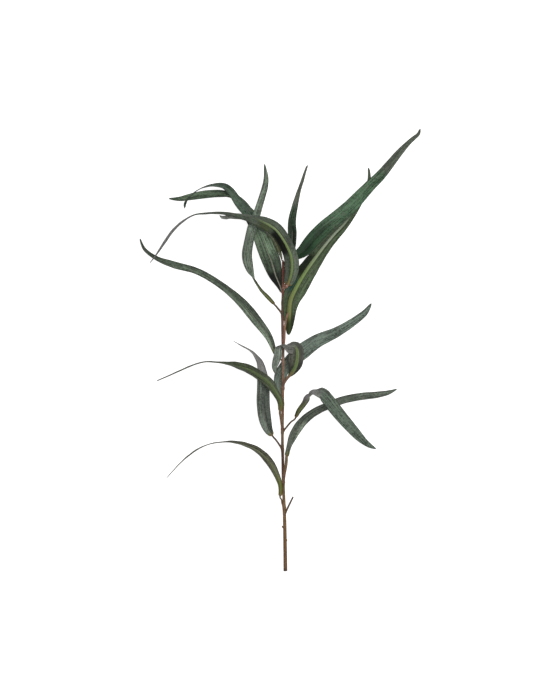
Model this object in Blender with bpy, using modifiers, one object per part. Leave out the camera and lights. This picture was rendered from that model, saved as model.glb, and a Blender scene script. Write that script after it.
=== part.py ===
"""Eucalyptus branch: a woody stem and sixteen long sickle leaves, lying on a flat surface.

World frame: metres, +Z up. The surface is z = 0, and the origin lies on it under the middle of
the branch. The stem runs along +Y, from its cut end to its youngest leaves.
"""
import bmesh
import bpy
import numpy as np

MM = 0.001
UP = np.array([0.0, 0.0, 1.0])

# Blades, in millimetres
BLADE_THICKNESS = 0.8
BLADE_STRIPS = 4
FOLD_LEFT_AT_TIP = 0.25
WAVE_HEIGHT = 0.7
WAVE_LENGTH = 75.0

# Stem, in millimetres
STEM_STEP = 8.0
PETIOLE_STEP = 4.5
STEM_SIDES = 10
PETIOLE_SIDES = 6
NODE_SWELLING = 0.45
NODE_REACH = 4.0
SEAT_GAP = 0.5
TWIG_RADII = (1.3, 0.95)
SCAR_RADII = (1.6, 1.0)

# Colours: red, green, blue
STEM_COLOUR = (0.23, 0.10, 0.05)
LEAF_COLOUR = (0.075, 0.115, 0.08)

# The stem's middle line: x, y, height and radius in millimetres, from the cut end upwards
STEM_ROUTE = [
    (7.5, -334, 2.85, 3), (7, -294.5, 4.9, 2.8), (6, -247.5, 7.6, 2.6), (5, -220, 9.4, 2.3),
    (4, -196, 10.9, 2.2), (3.5, -168.5, 12.7, 2.15), (3, -144.5, 14.3, 2.15),
    (3, -120.5, 15.9, 2.1), (3.5, -87, 18, 2.1), (3.5, -54, 20.3, 2.15), (4, -24, 22.4, 2.1),
    (3.5, 7.5, 24.7, 2.1), (3, 33, 26.6, 2.05), (3, 55.5, 28.3, 2.05), (3.5, 81, 30.3, 2),
    (4, 102, 32, 1.9), (4, 122.5, 34.2, 1.7), (4, 134, 35.6, 1.4),
]
# A bare twig left on the stem, and two scars where older leaves fell
TWIG_ROUTE = [
    (6, -250.5, 7.4), (8.5, -243.5, 9.5), (13, -233.5, 14), (19, -220.5, 20),
]
SCAR_ROUTES = [
    [(6.0, -269.5, 6.2), (3.8, -267.5, 6.7), (2.5, -265.5, 7.1)],
    [(6.8, -290.5, 5.2), (8.8, -288.0, 5.6), (10.1, -286.0, 5.9)],
]

# The leaves, from the cut end upwards. A petiole runs from inside the stem to just short of its
# blade. A route is the blade's midrib: x, y and height in millimetres, the blade's turn in
# degrees, and half the blade's width in millimetres. The turn is 0 where the upper face looks
# straight up, 90 where the blade stands on edge and 180 where its underside looks up. The fold
# lifts each half of the blade from the midrib, in degrees at the base, and the rows of the
# blade's faces are a step apart, in millimetres.
LEAVES = {
    "leaf_01_low_left": {
        "petiole": [(5, -238.5, 8.2), (2.5, -231.5, 9.6), (1, -224.5, 11.9)],
        "route": [(-0.5, -220, 13.5, 178, 2.8), (0, -206, 18, 180, 3.3), (-5.5, -188, 24, 184, 4.6),
                  (-18, -166, 30, 196, 6.4), (-35, -150, 32, 220, 6.9),
                  (-53.5, -142, 31.5, 242, 6.5), (-74, -138, 29.5, 254, 5.8),
                  (-92, -138.5, 26.5, 262, 5.2), (-107.5, -141.5, 22.7, 266, 4.6),
                  (-121, -147.5, 19, 260, 4.1), (-136, -157.5, 14.6, 257, 3.6),
                  (-151.5, -171, 9.6, 255, 2.9), (-163.5, -184, 5.6, 254, 2.1),
                  (-172.5, -194, 3, 254, 0.8)],
        "fold": 13, "step": 9, "radii": (1.3, 1.1), "seat": "base",
    },
    "leaf_02_low_right": {
        "petiole": [(4, -200.5, 10.6), (5.5, -188, 13.5), (8, -174.5, 17.2), (9, -164, 19.6)],
        "route": [(9.5, -159.5, 20.5, 10, 3.8), (12.5, -146.5, 20.6, 15, 3.8),
                  (17, -134.5, 19.8, 20, 5.9), (23.5, -122, 18, 23, 7.2),
                  (33.5, -108.5, 14.5, 24, 7.5), (50, -95, 11.5, 24, 6.9), (70, -85, 9, 24, 5.9),
                  (95, -75.5, 7.4, 20, 6.1), (120, -70.5, 6.6, 20, 6.1), (150, -67, 6, 25, 4.8),
                  (165.5, -63.5, 6.4, 32, 3.4), (176.5, -58.5, 7, 40, 0.9)],
        "fold": 14, "step": 9, "radii": (2.5, 2.3), "seat": "base",
    },
    "leaf_03_right_drooping": {
        "petiole": [(4, -122, 15.8), (9, -116, 20), (15.5, -108, 27)],
        "route": [(23, -100.5, 34, 150, 2.8), (27, -92.5, 38.5, 148, 4.2), (36, -80, 44, 140, 5.7),
                  (42, -71.5, 48.5, 124, 7.8), (46.5, -65.5, 50.5, 72, 6.8), (53.5, -65, 52, 50, 8),
                  (60, -64.5, 52, 26, 9.7), (69, -72.5, 48.5, 16, 9.9), (78.5, -84.5, 43, 12, 9.8),
                  (89.5, -98, 36, 9, 9.1), (106.5, -117.5, 25.5, 8, 8.1), (119, -131, 17, 8, 6.7),
                  (127.5, -139, 11.6, 9, 4.9), (136, -145, 7.4, 11, 3.3),
                  (145, -149.5, 3.2, 14, 0.8)],
        "fold": 12, "step": 6, "radii": (1.4, 1.3), "seat": "base",
    },
    "leaf_04_left_hanging": {
        "petiole": [(3, -150, 14), (-2.5, -141.5, 14.4), (-7.5, -134.5, 15.4)],
        "route": [(-12.5, -128.5, 17, 0, 3.9), (-17.5, -121.5, 15.2, -3, 6.6),
                  (-22.5, -107.5, 13, -6, 9.3), (-26, -83, 11, -8, 10.2),
                  (-26.5, -51.5, 10.5, -14, 9.3), (-28.5, -33, 11.3, -28, 8.3),
                  (-31.5, -19, 12.6, -42, 7), (-37.5, -9.5, 14.8, -54, 5.4),
                  (-44.5, -1.5, 16.8, -73, 4.3), (-55.5, 4.5, 19, -76, 3.4),
                  (-72.5, 14.5, 22, -78, 0.6)],
        "fold": 13, "step": 9, "radii": (1.5, 1.4), "seat": "base",
    },
    "leaf_05_left_arching": {
        "petiole": [(3, -120.5, 15.8), (1.5, -109.5, 19.5), (0, -99, 24)],
        "route": [(-0.5, -91.5, 27.5, 180, 3.2), (0.5, -83.5, 29, 180, 4.4), (-1, -75, 31, 180, 5),
                  (-7, -64.5, 32.5, 182, 5.3), (-17.5, -49, 34, 187, 7.5),
                  (-33, -37.5, 34, 196, 7.5), (-47, -29.5, 32.5, 213, 8.6),
                  (-60.5, -25, 30, 226, 8.1), (-72.5, -22, 27.5, 241, 7.2),
                  (-85, -20, 24.5, 254, 5.8), (-98.5, -18.5, 21, 256, 5.2),
                  (-113.5, -18, 17, 257, 4.6), (-129, -22, 13.2, 258, 4.1),
                  (-148.5, -30, 8.8, 258, 3.4), (-170, -39.5, 4.9, 250, 2.8),
                  (-187.5, -47, 2.6, 246, 2)],
        "fold": 13, "step": 9, "radii": (1.9, 1.8), "seat": "base",
    },
    "leaf_06_looped": {
        "petiole": [(3.5, -58.5, 20), (4.5, -51, 23.5), (7.5, -45.5, 28.5)],
        "route": [(12, -40, 33.5, 172, 2.4), (18, -33.5, 36.5, 166, 7.2), (23, -24, 40, 160, 13.4),
                  (25.5, -11.5, 45, 155, 14.9), (25, -0.5, 49.5, 150, 14.8),
                  (21, 6, 54.2, 129, 14.8), (11, 6.5, 56, 116, 15), (4, 8, 56.2, 86, 11.5),
                  (-4, 3.5, 55.4, 50, 9.3), (-5, -7.5, 54.2, 38, 8.2), (-7, -16, 51.4, 30, 6.4),
                  (-9, -25.5, 48, 26, 4.5), (-7.5, -36, 43.5, 24, 0.9)],
        "fold": 35, "step": 5, "radii": (2.4, 2.2), "seat": "base",
    },
    "leaf_07_middle_right": {
        "petiole": [(3.5, -81, 18.2), (2, -76, 17.2)],
        "route": [(0.5, -70.5, 15.5, 10, 1.5), (-1.5, -57, 12.5, 14, 6.8),
                  (0.5, -38.5, 10, 16, 9.6), (10.5, -22, 9.5, 18, 9.8), (30.5, -5, 9, 18, 12.8),
                  (53.5, 12, 8.5, 16, 10.7), (86, 27.5, 8.5, 16, 8.1), (113.5, 45, 11, 20, 6.1),
                  (128, 57, 13.8, 22, 4.7), (137, 70.5, 16, 25, 1.5)],
        "fold": 13, "step": 9, "radii": (1.2, 0.9), "seat": "base",
    },
    "leaf_08_long_left": {
        "petiole": [(4, -19, 22.4), (0.5, -14, 21.8), (-3.5, -10.5, 21)],
        "route": [(-7.5, -7, 20.4, -8, 2.5), (-16.5, 17, 15.8, -12, 5.7), (-36, 44, 10.2, -16, 7.9),
                  (-61, 73.5, 5.6, -18, 7.5), (-91, 98.5, 3, -18, 5.5),
                  (-127.5, 119.5, 1.75, -16, 5.4), (-161.5, 129, 2.1, -14, 5.4),
                  (-190.5, 140.5, 4.3, -14, 3.3), (-206.5, 154, 6.8, -20, 2.6),
                  (-212, 168.5, 10.3, -30, 1.2)],
        "fold": 13, "step": 9, "radii": (1.2, 0.9), "seat": "base",
    },
    "leaf_09_left_upright": {
        "petiole": [(3.5, 52.5, 28), (-0.5, 58, 31), (-5, 63.5, 34.5)],
        "route": [(-9.5, 68.5, 38, 212, 3), (-19.5, 79, 40.3, 214, 3.7), (-30, 90, 42, 234, 3.3),
                  (-37.5, 101, 43, 262, 4.8), (-45.5, 118.5, 43.5, 325, 6.4),
                  (-50, 140, 43.5, 352, 7.8), (-47, 162, 43.5, 360, 7.1),
                  (-41.5, 184.5, 43.5, 362, 7.2), (-33.5, 208.5, 42.5, 361, 5.6),
                  (-28, 226.5, 41, 358, 5), (-23, 244.5, 39, 354, 4.6), (-21.5, 257, 38, 350, 3.7),
                  (-22.5, 267.5, 37, 347, 2.5), (-24, 278.5, 36, 345, 0.9)],
        "fold": 11, "step": 9, "radii": (1.6, 1.4), "seat": "base",
    },
    "leaf_10_upper_left_back": {
        "petiole": [(4, 70.5, 29.5), (3, 78.5, 28.8)],
        "route": [(2, 86, 27.5, 0, 2), (-0.5, 95, 26.3, -1, 4.8), (-7, 111, 24, -2, 10),
                  (-13.5, 132.5, 21.5, -4, 14), (-22, 153, 19, -6, 13.6),
                  (-30, 173.5, 17.5, -8, 12.6), (-40, 193.5, 16, -10, 11),
                  (-50.5, 209, 15, -12, 8.6), (-61, 222.5, 14, -14, 7.2),
                  (-73.5, 233, 13, -14, 4.6), (-88, 235.5, 12, -14, 5.8),
                  (-109.5, 235, 9.5, -12, 6.3), (-136.5, 231, 7.5, -10, 5.1),
                  (-153, 228, 7.4, -10, 3.5), (-169, 228.5, 8, -10, 1.1)],
        "fold": 11, "step": 9, "radii": (1, 0.8), "seat": "base",
    },
    "leaf_11_upper_left_arching": {
        "petiole": [(4, 130, 35.2), (3.5, 133.5, 35.8)],
        "route": [(2, 135.5, 36.2, 300, 1.6), (-3, 149.5, 35.5, 312, 4.7),
                  (-9.5, 163.5, 33.5, 312, 5.4), (-21.5, 177, 31.5, 312, 5.9),
                  (-33.5, 186, 30, 316, 6.4), (-44, 197.5, 28.5, 325, 7.6),
                  (-53, 209.5, 27, 338, 8.2), (-61, 219.5, 26, 340, 8.5),
                  (-67.5, 228, 25.3, 338, 7), (-74.5, 237.5, 24.6, 328, 6.8),
                  (-83, 245, 23.8, 314, 7), (-94.5, 247.5, 22.5, 303, 5.8),
                  (-109.5, 246, 20.5, 294, 4.6), (-125, 240, 17.5, 288, 3.6),
                  (-135.5, 232, 15.2, 293, 3.2), (-140, 226.5, 14.2, 300, 2.4),
                  (-143.5, 221, 13.3, 325, 2.5), (-144.5, 213, 12.5, 332, 1.2)],
        "fold": 11, "step": 8, "radii": (1, 0.8), "seat": "base",
    },
    "leaf_12_top_arching": {
        "petiole": [(4, 92.5, 29.5), (5, 92.5, 35.6), (7.5, 93.5, 38.9)],
        "route": [(10.5, 96.5, 42.2, 178, 6.8), (13, 103, 45.4, 178, 9.2),
                  (15.5, 111, 50, 178, 10.7), (17, 127.5, 57, 178, 11.6),
                  (15.5, 139, 62, 177, 11.4), (11, 150.5, 65.5, 178, 10.9),
                  (2.5, 165.5, 69.5, 182, 10.7), (-7.5, 178, 71.5, 182, 11),
                  (-24.5, 188.5, 71, 168, 10.3), (-42, 195.5, 68, 136, 9.4),
                  (-60, 200, 64, 118, 8.6), (-87, 204.5, 57.5, 113, 7.4),
                  (-109, 204, 51.5, 106, 6.4), (-129, 201.5, 46, 96, 5.8),
                  (-143.5, 194.5, 41.5, 110, 5.6), (-159, 181.5, 37, 120, 5.4),
                  (-175.5, 159.5, 30.5, 118, 4.6), (-186.5, 143.5, 25.5, 112, 3.2),
                  (-197, 130, 21, 108, 2)],
        "fold": 22, "step": 7, "radii": (2.1, 1.7), "seat": "base",
    },
    "leaf_13_top_short": {
        "petiole": [(4, 125.5, 34.5), (6.5, 130, 38)],
        "route": [(9, 135.5, 42, 238, 0.8), (9.5, 155, 47, 238, 3.2), (3.5, 173, 50, 238, 3.8),
                  (-9, 185, 51.5, 238, 4.2), (-27, 192.5, 51.5, 240, 4.6), (-45, 195, 50, 238, 4.8),
                  (-60, 197, 47, 237, 4.2), (-74, 198.5, 41.5, 236, 4.5),
                  (-83, 198, 33.5, 236, 4.6), (-88, 199, 24, 238, 4.4), (-90, 200, 15, 240, 3.6),
                  (-91, 200.5, 8, 240, 1.8)],
        "fold": 10, "step": 9, "radii": (1, 0.8), "seat": "base",
    },
    "leaf_14_top_upright": {
        "petiole": [(4, 119.5, 34), (8, 125.5, 35.5)],
        "route": [(12, 131.5, 37.5, 12, 1.5), (16, 152, 42, 18, 6.8), (18, 173, 45, 22, 7),
                  (17.5, 190.5, 46.3, 23, 6.7), (20.5, 208.5, 46.8, 24, 5.7),
                  (24, 223.5, 46, 23, 4.3), (28, 238.5, 44, 20, 2.9), (33, 253.5, 41.5, 16, 2.4),
                  (36.5, 265.5, 39, 13, 1.9), (40.5, 276.5, 37, 10, 1.3)],
        "fold": 14, "step": 9, "radii": (1, 0.8), "seat": "base",
    },
    "leaf_15_right_broad": {
        "petiole": [(3.5, 1.5, 24.5), (5.5, 13.5, 28.4), (6, 25.5, 31.4), (7, 37.5, 34.6),
                    (9, 48.5, 37.4), (11.5, 55.5, 39.2)],
        "route": [(12, 23, 30, 180, 2.4), (12.5, 30, 31.6, 186, 4.8), (12.5, 42, 34.2, 194, 8.1),
                  (13, 58.5, 37.4, 200, 10.6), (15, 74.5, 39.8, 199, 14.1),
                  (22.5, 91.5, 42.2, 198, 17.1), (37, 116, 43.4, 208, 16.3),
                  (51, 136, 42.3, 210, 13.8), (66.5, 156.5, 38, 216, 12.2),
                  (80.5, 173, 31, 222, 11.2), (94.5, 188, 22.5, 218, 8.8),
                  (108, 206.5, 14.5, 208, 7.1), (120.5, 226, 10.5, 200, 4.8),
                  (130, 244.5, 9, 194, 2.8), (134, 259.5, 9.5, 190, 2.4),
                  (132.5, 275, 13, 190, 1.3)],
        "fold": 13, "step": 9, "radii": (1.9, 1.6), "seat": "midrib",
    },
    "leaf_16_right_longest": {
        "petiole": [(4, 106, 32.2), (8, 116, 32.6), (14, 128, 33)],
        "route": [(20, 136.5, 33.4, 4, 2.2), (26, 141.5, 34.2, 6, 6.8), (35, 148.5, 34.8, 8, 9.8),
                  (48.5, 164.5, 34.4, 8, 11.3), (66.5, 182.5, 33.6, 8, 11.7),
                  (86.5, 198.5, 31.6, 8, 11.6), (104.5, 214.5, 28, 8, 10.8),
                  (119.5, 230.5, 24, 8, 9.9), (134.5, 246.5, 19.5, 9, 8.7),
                  (150.5, 262.5, 15, 10, 7.7), (165, 280, 10.7, 12, 6.7),
                  (180, 298.5, 6.6, 14, 5.5), (195.5, 315, 3.3, 16, 3.7), (205.5, 324, 1.35, 16, 3),
                  (211, 330, 0.7, 16, 2.2), (211.5, 335, 0.9, 16, 1.3)],
        "fold": 12, "step": 9, "radii": (1.1, 0.9), "seat": "base",
    },
}


def smooth_route(points, step):
    """A Catmull-Rom curve through the points, read at even steps of its length."""
    points = np.array(points, dtype=float)
    chords = np.linalg.norm(np.diff(points[:, :3], axis=0), axis=1)
    knots = np.concatenate([[0.0], np.cumsum(chords)])
    slopes = np.gradient(points, knots, axis=0)
    place = np.linspace(0.0, knots[-1], 40 * len(points))
    index = np.clip(np.searchsorted(knots, place, side="right") - 1, 0, len(chords) - 1)
    span = chords[index][:, None]
    t = (place - knots[index])[:, None] / span
    curve = ((2 * t**3 - 3 * t**2 + 1) * points[index]
             + (t**3 - 2 * t**2 + t) * span * slopes[index]
             + (3 * t**2 - 2 * t**3) * points[index + 1]
             + (t**3 - t**2) * span * slopes[index + 1])
    lengths = np.linalg.norm(np.diff(curve[:, :3], axis=0), axis=1)
    travelled = np.concatenate([[0.0], np.cumsum(lengths)])
    count = max(3, round(travelled[-1] / step) + 1)
    wanted = np.linspace(0.0, travelled[-1], count)
    return np.column_stack([np.interp(wanted, travelled, column) for column in curve.T])


def unit(vectors):
    """The vectors at length 1."""
    return vectors / np.linalg.norm(vectors, axis=-1, keepdims=True)


def blade_grid(leaf, strips):
    """Points of the blade's middle surface, row by row along it and from edge to edge.

    Each half rises from the midrib towards the upper face by the fold, and the edges wave.
    """
    route = smooth_route(leaf["route"], leaf["step"])
    middle = route[:, None, :3]
    forward = unit(np.gradient(route[:, :3], axis=0))
    level = unit(np.cross(forward, UP))
    raised = np.cross(level, forward)
    turn = np.radians(route[:, 3:4])
    side = (np.cos(turn) * level + np.sin(turn) * raised)[:, None, :]
    face = (np.cos(turn) * raised - np.sin(turn) * level)[:, None, :]
    along = np.linspace(0.0, 1.0, len(route))
    across = np.linspace(-1.0, 1.0, strips + 1)[None, :, None]
    half = route[:, None, 4:5]
    fold = np.radians(leaf["fold"]) * (1.0 - (1.0 - FOLD_LEFT_AT_TIP) * along)[:, None, None]
    travelled = (along * np.linalg.norm(np.diff(route[:, :3], axis=0), axis=1).sum())[:, None, None]
    wave = WAVE_HEIGHT * np.sin(2.0 * np.pi * travelled / WAVE_LENGTH + 1.5 * across)
    lift = np.abs(across) * half * np.sin(fold) + wave * across**2 * half / half.max()
    return middle + side * across * half * np.cos(fold) + face * lift


def make_material(name, colour, roughness):
    """A Principled material of one colour."""
    material = bpy.data.materials.new(name)
    material.use_nodes = True
    shader = material.node_tree.nodes["Principled BSDF"]
    shader.inputs["Base Color"].default_value = (*colour, 1.0)
    shader.inputs["Roughness"].default_value = roughness
    shader.inputs["Metallic"].default_value = 0.0
    return material


def make_blade(name, leaf, collection):
    """A leaf blade: a grid bent onto the blade's middle surface, split into triangles, with a wall."""
    points = blade_grid(leaf, BLADE_STRIPS)
    rows = len(points) - 1
    bm = bmesh.new()
    bmesh.ops.create_grid(bm, x_segments=BLADE_STRIPS, y_segments=rows, size=1.0)
    for vertex in bm.verts:
        column = round((vertex.co.x + 1.0) / 2.0 * BLADE_STRIPS)
        row = round((vertex.co.y + 1.0) / 2.0 * rows)
        vertex.co = points[row, column] * MM
    mesh = bpy.data.meshes.new(name)
    bm.to_mesh(mesh)
    bm.free()
    mesh.shade_smooth()
    mesh.materials.append(make_material(name + "_finish", LEAF_COLOUR, 0.55))
    blade = bpy.data.objects.new(name, mesh)
    collection.objects.link(blade)
    blade.modifiers.new("Triangles", "TRIANGULATE")
    wall = blade.modifiers.new("Wall", "SOLIDIFY")
    wall.thickness = BLADE_THICKNESS * MM
    wall.offset = 0.0
    return blade


def make_tube(name, points, radii, sides, collection):
    """A round tube through the points, as a mesh with closed ends. Radii go with the points."""
    data = bpy.data.curves.new(name, "CURVE")
    data.dimensions = "3D"
    data.bevel_depth = MM
    data.bevel_resolution = sides // 2 - 2
    data.use_fill_caps = True
    spline = data.splines.new("POLY")
    spline.points.add(len(points) - 1)
    for control, point, radius in zip(spline.points, points, radii):
        control.co = (*(point * MM), 1.0)
        control.radius = radius
    curve = bpy.data.objects.new(name + "_curve", data)
    collection.objects.link(curve)
    bpy.context.view_layer.update()
    mesh = bpy.data.meshes.new_from_object(curve.evaluated_get(bpy.context.evaluated_depsgraph_get()))
    bm = bmesh.new()
    bm.from_mesh(mesh)
    bmesh.ops.remove_doubles(bm, verts=bm.verts, dist=0.01 * MM)
    bmesh.ops.recalc_face_normals(bm, faces=bm.faces)
    bm.to_mesh(mesh)
    bm.free()
    tube = bpy.data.objects.new(name, mesh)
    tube.matrix_world = curve.matrix_world
    collection.objects.link(tube)
    bpy.data.objects.remove(curve)
    return tube


def petiole_route(leaf):
    """A petiole's points, ending a seat gap before its blade and in line with it."""
    blade = smooth_route(leaf["route"], leaf["step"])[:, :3]
    if leaf["seat"] == "base":
        forward = unit(blade[1] - blade[0])
        end = blade[0] - SEAT_GAP * forward
        return smooth_route([*leaf["petiole"], end - 2.0 * forward, end], PETIOLE_STEP)
    return smooth_route(leaf["petiole"], PETIOLE_STEP)


def make_stem(parts, joints):
    """The stem with its petioles, twig and scars, joined into one solid."""
    route = smooth_route(STEM_ROUTE, STEM_STEP)
    starts = [leaf["petiole"][0][1] for leaf in LEAVES.values()]
    swelling = sum(np.exp(-((route[:, 1] - y) / NODE_REACH) ** 2) for y in starts)
    radii = route[:, 3] + NODE_SWELLING * np.clip(swelling, 0.0, 1.0)
    stem = make_tube("stem", route[:, :3], radii, STEM_SIDES, parts)
    for name, leaf in LEAVES.items():
        points = petiole_route(leaf)
        widths = np.linspace(*leaf["radii"], len(points))
        make_tube(name + "_petiole", points, widths, PETIOLE_SIDES, joints)
    twig = smooth_route(TWIG_ROUTE, PETIOLE_STEP)
    make_tube("twig", twig, np.linspace(*TWIG_RADII, len(twig)), PETIOLE_SIDES, joints)
    for scar in SCAR_ROUTES:
        make_tube("scar", np.array(scar), np.linspace(*SCAR_RADII, len(scar)), PETIOLE_SIDES, joints)
    union = stem.modifiers.new("Join", "BOOLEAN")
    union.operation = "UNION"
    union.operand_type = "COLLECTION"
    union.collection = joints
    union.solver = "EXACT"
    bpy.context.view_layer.objects.active = stem
    bpy.ops.object.modifier_apply(modifier=union.name)
    for joint in list(joints.objects):
        bpy.data.objects.remove(joint)
    stem.data.shade_smooth()
    stem.data.materials.clear()
    stem.data.materials.append(make_material("stem_finish", STEM_COLOUR, 0.7))
    return stem


def new_collection(name):
    """A collection in the scene."""
    collection = bpy.data.collections.new(name)
    bpy.context.scene.collection.children.link(collection)
    return collection


def main():
    """The whole branch."""
    for item in list(bpy.data.objects):
        bpy.data.objects.remove(item)
    parts = new_collection("eucalyptus_branch")
    joints = new_collection("stem_joints")
    make_stem(parts, joints)
    bpy.data.collections.remove(joints)
    for name, leaf in LEAVES.items():
        make_blade(name, leaf, parts)


main()
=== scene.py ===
"""Eucalyptus branch: the finished look of a cut woody stem with sixteen long sickle leaves.

World frame: metres, +Z up. The branch lies on the floor, z = 0. The stem runs along +Y, from its
cut end to its youngest leaves, and the camera looks straight down on it.
"""

import bpy
import numpy as np
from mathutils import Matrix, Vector


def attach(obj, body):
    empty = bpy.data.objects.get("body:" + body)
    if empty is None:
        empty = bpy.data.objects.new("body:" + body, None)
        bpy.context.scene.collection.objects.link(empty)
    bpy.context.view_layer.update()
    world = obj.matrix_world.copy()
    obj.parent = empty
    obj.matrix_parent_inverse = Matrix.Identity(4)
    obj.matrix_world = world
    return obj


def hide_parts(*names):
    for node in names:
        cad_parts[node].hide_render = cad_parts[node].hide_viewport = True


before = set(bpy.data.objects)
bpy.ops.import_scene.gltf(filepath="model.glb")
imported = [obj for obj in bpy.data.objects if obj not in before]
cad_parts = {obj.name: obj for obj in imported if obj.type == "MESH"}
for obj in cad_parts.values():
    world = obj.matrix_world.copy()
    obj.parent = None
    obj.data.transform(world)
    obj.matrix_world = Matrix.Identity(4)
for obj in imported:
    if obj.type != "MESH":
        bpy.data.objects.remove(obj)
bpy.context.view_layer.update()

MM = 0.001
UP = np.array([0.0, 0.0, 1.0])
CURVE_SAMPLES = 40

# A blade's middle surface, as the solids have it: the share of the fold that is left at the tip,
# and the long wave of the margins in millimetres, with the radians it shifts from midrib to margin
FOLD_LEFT_AT_TIP = 0.25
WAVE_HEIGHT = 0.7
WAVE_LENGTH = 75.0
WAVE_TURN = 1.5

# The short ripple of the margins, likewise
RIPPLE_HEIGHT = 0.25
RIPPLE_LENGTH = 19.0
RIPPLE_TURN = 2.2

# A blade's skin: the rows' distance and the wall in millimetres, the columns of each half, how they
# crowd to the midrib, where the last before the margin lies, and how softly the halves meet
BLADE_ROW = 2.0
BLADE_WALL = 0.7
HALF_COLUMNS = 17
CROWDING = 1.4
LAST_COLUMN = 0.97
CREASE_SOFTNESS = 0.003

# Rounded ends: their length in millimetres, and the square of the share of the width at the very
# end. Over the neck, in millimetres, a blade is as round as its petiole
TIP_ROUND = (3.0, 0.02)
BASE_ROUND = (1.5, 0.45)
STEM_TOP_ROUND = (2.5, 0.05)
NECK_LENGTH = 6.0

# The rib beneath and the groove above, in millimetres. The rib falls as the length left to a power,
# narrows by a share, and takes no more than a share of half the width
RIB_HEIGHT = 0.9
RIB_FALL = 0.7
RIB_NARROWING = 0.6
RIB_SHARE = 0.55
GROOVE_DEPTH = 0.16
GROOVE_WIDTH = 0.45

# Stem, in millimetres. The rings are shares of the radius on the cut face
STEM_ROW = 1.2
STEM_SIDES = 36
CUT_RINGS = (0.3, 0.6, 0.85)
NODE_SWELLING = 0.45
NODE_REACH = 4.0
BARK_RELIEF = 0.05

# Petioles and stubs, in millimetres. A petiole comes in line with its blade over the lead and runs
# on inside it by the inset. A stub's last ring is narrowed to a share
PETIOLE_ROW = 0.8
PETIOLE_SIDES = 18
PETIOLE_LEAD = 2.5
PETIOLE_INSET = 1.5
PETIOLE_FLARE = 0.7
FLARE_START = 1.2
FLARE_REACH = 2.0
STUB_END = 0.7

# The bark's colours by the height up the stem in millimetres, and the heights that they span. The
# darkest stops, at -180 and -160, are a painted shadow where leaf 2's petiole lies over the stem
BARK_SPAN = (-335.0, 140.0)
BARK_AND_SHADOW = [
    (-333.5, (0.04, 0.036, 0.028)), (-330.5, (0.1, 0.052, 0.022)),
    (-322.0, (0.122, 0.063, 0.024)), (-290.0, (0.124, 0.058, 0.018)),
    (-262.0, (0.142, 0.078, 0.027)), (-232.0, (0.165, 0.095, 0.036)),
    (-205.0, (0.078, 0.048, 0.011)), (-180.0, (0.054, 0.019, 0.003)),
    (-160.0, (0.046, 0.013, 0.003)), (-135.0, (0.104, 0.064, 0.028)),
    (-112.0, (0.15, 0.11, 0.06)), (-90.0, (0.155, 0.066, 0.03)),
    (-45.0, (0.18, 0.105, 0.064)), (-10.0, (0.25, 0.16, 0.115)),
    (15.0, (0.13, 0.054, 0.038)), (48.0, (0.11, 0.044, 0.027)),
    (80.0, (0.12, 0.046, 0.03)), (125.0, (0.112, 0.026, 0.018)),
]

# Coats over the bark, each a strength and a colour, and the colours of cut wood
BARK_GRAIN = (0.45, (0.05, 0.026, 0.014))
BARK_BLOTCH = (0.4, (0.045, 0.022, 0.014))
BARK_FLECK = (0.4, (0.42, 0.3, 0.21))
CUT_LIGHT = (0.36, 0.27, 0.15)
CUT_DARK = (0.22, 0.15, 0.08)

# The petioles' colours, at the stem and at the blade, where they are pink, and where dark
STALK_BROWN = (0.13, 0.062, 0.036)
STALK_END = (0.135, 0.092, 0.04)
STALK_PINK = (0.3, 0.15, 0.11)
STALK_DARK = (0.066, 0.052, 0.037)

# The stem's middle line, from the cut end: x, y, height and radius in millimetres
STEM_ROUTE = [
    (7.5, -334, 2.85, 3), (7, -294.5, 4.9, 2.8), (6, -247.5, 7.6, 2.6), (5, -220, 9.4, 2.3),
    (4, -196, 10.9, 2.2), (3.5, -168.5, 12.7, 2.15), (3, -144.5, 14.3, 2.15),
    (3, -120.5, 15.9, 2.1), (3.5, -87, 18, 2.1), (3.5, -54, 20.3, 2.15), (4, -24, 22.4, 2.1),
    (3.5, 7.5, 24.7, 2.1), (3, 33, 26.6, 2.05), (3, 55.5, 28.3, 2.05), (3.5, 81, 30.3, 2),
    (4, 102, 32, 1.9), (4, 122.5, 34.2, 1.7), (4, 134, 35.6, 1.4),
]

# Short tubes on the stem: a bare twig, a bud by the petiole of leaf 12, and two scars where older
# leaves fell. Each has its route, its first and last radius in millimetres, and from 0 to 1 how
# much its end shows cut wood, how pink it is and how dark
SCAR = {"radii": (1.6, 1.0), "cut": 1.0, "blush": 0.0, "dusk": 0.7}
STUBS = [
    {"route": [(6, -250.5, 7.4), (8.5, -243.5, 9.5), (13, -233.5, 14), (19, -220.5, 20)],
     "radii": (1.6, 1.25), "cut": 0.2, "blush": 0.0, "dusk": 1.0},
    {"route": [(4.2, 94.3, 30), (6.4, 96.7, 34.5), (8.2, 98.9, 38)],
     "radii": (1.9, 1.5), "cut": 0.0, "blush": 0.9, "dusk": 0.0},
    {"route": [(6, -269.5, 6.2), (3.8, -267.5, 6.7), (2.5, -265.5, 7.1)], **SCAR},
    {"route": [(6.8, -290.5, 5.2), (8.8, -288, 5.6), (10.1, -286, 5.9)], **SCAR},
]

# Coats that all leaves share, and the rib's colours
ROSY = (0.22, (0.11, 0.092, 0.088))
MARGIN = (0.55, (0.02, 0.024, 0.014))
JOINT = (0.6, (0.16, 0.09, 0.045))
RIB_SHADOW = (0.6, (0.02, 0.026, 0.008))
RIB_GREEN = (0.098, 0.148, 0.038)
RIB_LIGHT = (0.18, 0.245, 0.088)
RIB_PALE = (0.235, 0.265, 0.195)
RIB_BROWN = (0.19, 0.13, 0.05)
RIB_YELLOW = (0.15, 0.165, 0.055)
RIB_DARK = (0.03, 0.042, 0.013)
HAIR_LINE = (0.21, 0.2, 0.16)
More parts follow.
